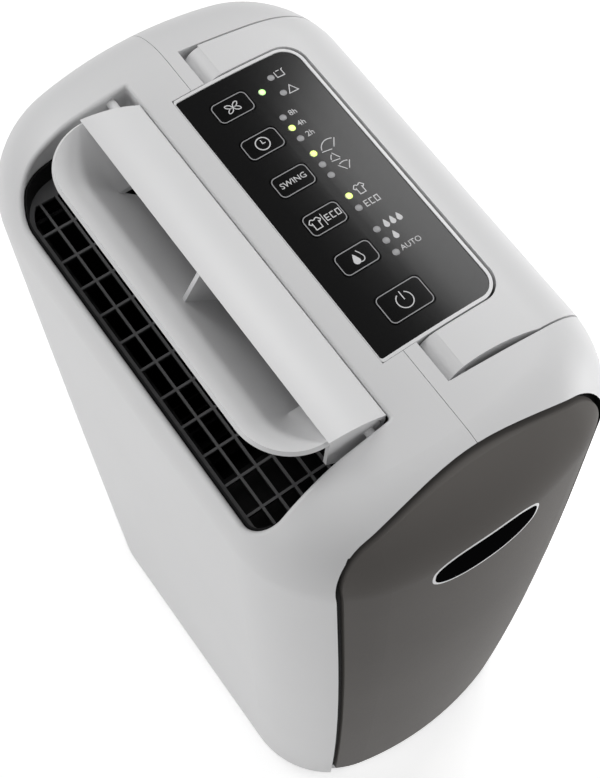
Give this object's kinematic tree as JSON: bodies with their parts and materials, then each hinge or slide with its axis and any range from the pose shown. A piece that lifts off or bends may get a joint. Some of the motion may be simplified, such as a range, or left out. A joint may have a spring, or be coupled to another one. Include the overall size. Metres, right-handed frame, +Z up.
{
  "type": "desiccant dehumidifier",
  "caption": "Slim upright desiccant dehumidifier with a swing louvre, key panel, folding carry handle, dark front panel and pull-out rear water tank.",
  "frame": {"origin": "centre of the footprint on the floor, under the rubber feet", "axes": "+Z up, front panel faces -Y, carry handle on the user's right at +X"},
  "size_m": [0.207, 0.326, 0.49],
  "materials": {
    "shell_white": "satin",
    "panel_grey": "satin",
    "louvre_white": "satin",
    "duct_white": "satin",
    "grille_black": "matt",
    "fascia_black": "gloss",
    "lamp_clear": "gloss",
    "board_green": "satin",
    "inner_plastic": "matt",
    "gear_nylon": "satin",
    "motor_steel": "brushed",
    "desiccant": "matt",
    "foam": "matt",
    "foot_rubber": "matt"
  },
  "bodies": {
    "chassis": {"left_shell": "shell_white", "right_shell": "shell_white", "front_panel": "panel_grey", "outlet_duct": "duct_white", "outlet_grille": "grille_black", "outlet_liner": "grille_black", "swing_motor": "motor_steel", "control_pod": "louvre_white", "control_fascia": "fascia_black", "control_board": "board_green", "tact_switches": "inner_plastic", "lamp_lenses": "lamp_clear", "handle_pins": "motor_steel", "intake_grille": "duct_white", "air_filter": "grille_black", "base_tray": "shell_white", "rubber_feet": "foot_rubber", "condensate_shelf": "inner_plastic", "scroll_left": "inner_plastic", "scroll_right": "inner_plastic", "fan_motor": "motor_steel", "motor_bracket": "motor_steel", "rotor_frame": "inner_plastic", "rotor_axle": "motor_steel", "gear_motor": "motor_steel", "heater_cover": "motor_steel", "heater_rods": "motor_steel", "regen_housing": "inner_plastic", "regen_motor": "motor_steel", "condenser": "inner_plastic", "main_board": "board_green", "level_switch": "inner_plastic", "cord_gland": "grille_black", "shell_screws": "motor_steel"},
    "louvre": {"swing_louvre": "louvre_white", "louvre_quadrant": "gear_nylon"},
    "swing_gear": {"swing_pinion": "gear_nylon"},
    "handle": {"carry_handle": "shell_white"},
    "tank": {"water_tank": "shell_white", "tank_facing": "shell_white", "tank_lid": "inner_plastic"},
    "float": {"tank_float": "foam"},
    "blower": {"blower_wheel": "inner_plastic"},
    "rotor": {"desiccant_rotor": "desiccant"},
    "rotor_drive": {"drive_pinion": "gear_nylon"},
    "regen_fan": {"regen_wheel": "inner_plastic"},
    "fan_button": {"fan_key": "fascia_black"},
    "timer_button": {"timer_key": "fascia_black"},
    "swing_button": {"swing_key": "fascia_black"},
    "laundry_button": {"laundry_key": "fascia_black"},
    "humidity_button": {"humidity_key": "fascia_black"},
    "power_button": {"power_key": "fascia_black"}
  },
  "joints": [
    {"name": "louvre_swing", "type": "hinge", "parent": "chassis", "child": "louvre", "pos_m": [-0.029, 0.00084, 0.45899], "axis": [0, 0.9932, 0.1167], "range_deg": [-38, 0]},
    {"name": "swing_pinion_turn", "type": "hinge", "parent": "chassis", "child": "swing_gear", "pos_m": [-0.029, 0.00364, 0.43515], "axis": [0, 0.9932, 0.1167], "range_deg": [-1, 115]},
    {"name": "handle_fold", "type": "hinge", "parent": "chassis", "child": "handle", "pos_m": [0.0238, 0.00119, 0.45601], "axis": [0, -0.9932, -0.1167], "range_deg": [0, 90]},
    {"name": "tank_slide", "type": "slide", "parent": "chassis", "child": "tank", "axis": [0, 1, 0], "range_m": [0, 0.25]},
    {"name": "float_swing", "type": "hinge", "parent": "tank", "child": "float", "pos_m": [0, -0.096, 0.128], "axis": [1, 0, 0], "range_deg": [-35, 10]},
    {"name": "blower_spin", "type": "hinge", "parent": "chassis", "child": "blower", "pos_m": [-0.061, 0.005, 0.262], "axis": [1, 0, 0], "continuous": true},
    {"name": "rotor_spin", "type": "hinge", "parent": "chassis", "child": "rotor", "pos_m": [0.044, -0.025, 0.285], "axis": [1, 0, 0], "continuous": true},
    {"name": "drive_pinion_spin", "type": "hinge", "parent": "chassis", "child": "rotor_drive", "pos_m": [0.044, 0.08254, 0.30396], "axis": [1, 0, 0], "continuous": true},
    {"name": "regen_fan_spin", "type": "hinge", "parent": "chassis", "child": "regen_fan", "pos_m": [0.039, 0.122, 0.235], "axis": [1, 0, 0], "continuous": true},
    {"name": "fan_press", "type": "slide", "parent": "chassis", "child": "fan_button", "axis": [0, 0.1167, -0.9932], "range_m": [0, 0.0006], "stiffness_N_per_m": 900, "springref_m": -0.0004},
    {"name": "timer_press", "type": "slide", "parent": "chassis", "child": "timer_button", "axis": [0, 0.1167, -0.9932], "range_m": [0, 0.0006], "stiffness_N_per_m": 900, "springref_m": -0.0004},
    {"name": "swing_press", "type": "slide", "parent": "chassis", "child": "swing_button", "axis": [0, 0.1167, -0.9932], "range_m": [0, 0.0006], "stiffness_N_per_m": 900, "springref_m": -0.0004},
    {"name": "laundry_press", "type": "slide", "parent": "chassis", "child": "laundry_button", "axis": [0, 0.1167, -0.9932], "range_m": [0, 0.0006], "stiffness_N_per_m": 900, "springref_m": -0.0004},
    {"name": "humidity_press", "type": "slide", "parent": "chassis", "child": "humidity_button", "axis": [0, 0.1167, -0.9932], "range_m": [0, 0.0006], "stiffness_N_per_m": 900, "springref_m": -0.0004},
    {"name": "power_press", "type": "slide", "parent": "chassis", "child": "power_button", "axis": [0, 0.1167, -0.9932], "range_m": [0, 0.0006], "stiffness_N_per_m": 900, "springref_m": -0.0004}
  ],
  "couplings": [
    {"joint": "swing_pinion_turn", "follows": "louvre_swing", "ratio": -3},
    {"joint": "drive_pinion_spin", "follows": "rotor_spin", "ratio": -6}
  ]
}
